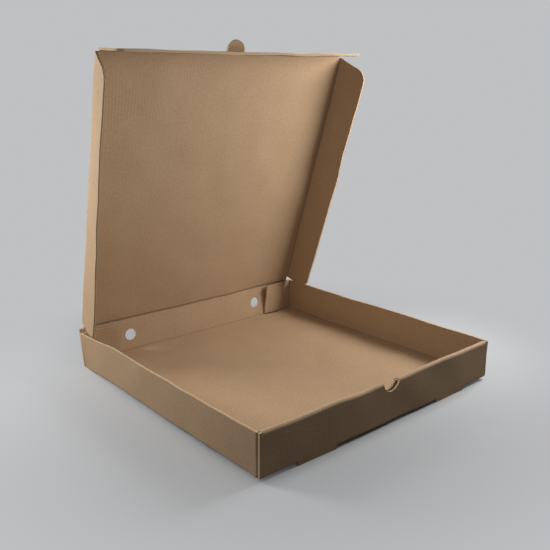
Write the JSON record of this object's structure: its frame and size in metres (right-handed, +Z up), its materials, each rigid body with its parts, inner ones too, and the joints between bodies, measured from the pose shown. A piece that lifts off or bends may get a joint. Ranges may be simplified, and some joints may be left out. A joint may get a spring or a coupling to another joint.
{
  "type": "pizza box",
  "caption": "Flat square pizza box folded from corrugated board, with a hinged lid, tuck flaps, a rolled-over front wall with thumb notch, and round vents in the back wall.",
  "frame": {"origin": "middle of the tray's footprint, on the surface that the box stands on", "axes": "+X to the right seen from the front, +Y from the front wall to the hinged back wall, +Z up"},
  "size_m": [0.305, 0.311, 0.3336],
  "materials": {
    "kraft_board": "matt uncoated brown kraft liner, the same inside and outside"
  },
  "bodies": {
    "tray": {"tray": "kraft_board"},
    "lid": {"lid": "kraft_board"},
    "lid_left_flap": {"lid_left_flap": "kraft_board"},
    "lid_right_flap": {"lid_right_flap": "kraft_board"},
    "lid_front_flap": {"lid_front_flap": "kraft_board"}
  },
  "joints": [
    {"name": "lid_hinge", "type": "hinge", "parent": "tray", "child": "lid", "pos_m": [0, 0.1545, 0.0449], "axis": [1, 0, 0], "range_deg": [-108, 72]},
    {"name": "left_flap_crease", "type": "hinge", "parent": "lid", "child": "lid_left_flap", "pos_m": [-0.14816, 0.1545, 0.0449], "axis": [0, -0.309, 0.9511], "range_deg": [-88.5, 9.5]},
    {"name": "right_flap_crease", "type": "hinge", "parent": "lid", "child": "lid_right_flap", "pos_m": [0.14816, 0.1545, 0.0449], "axis": [0, 0.309, -0.9511], "range_deg": [-88.5, 9.5]},
    {"name": "front_flap_crease", "type": "hinge", "parent": "lid", "child": "lid_front_flap", "pos_m": [0, 0.06474, 0.32116], "axis": [1, 0, 0], "range_deg": [-72, 26]}
  ]
}
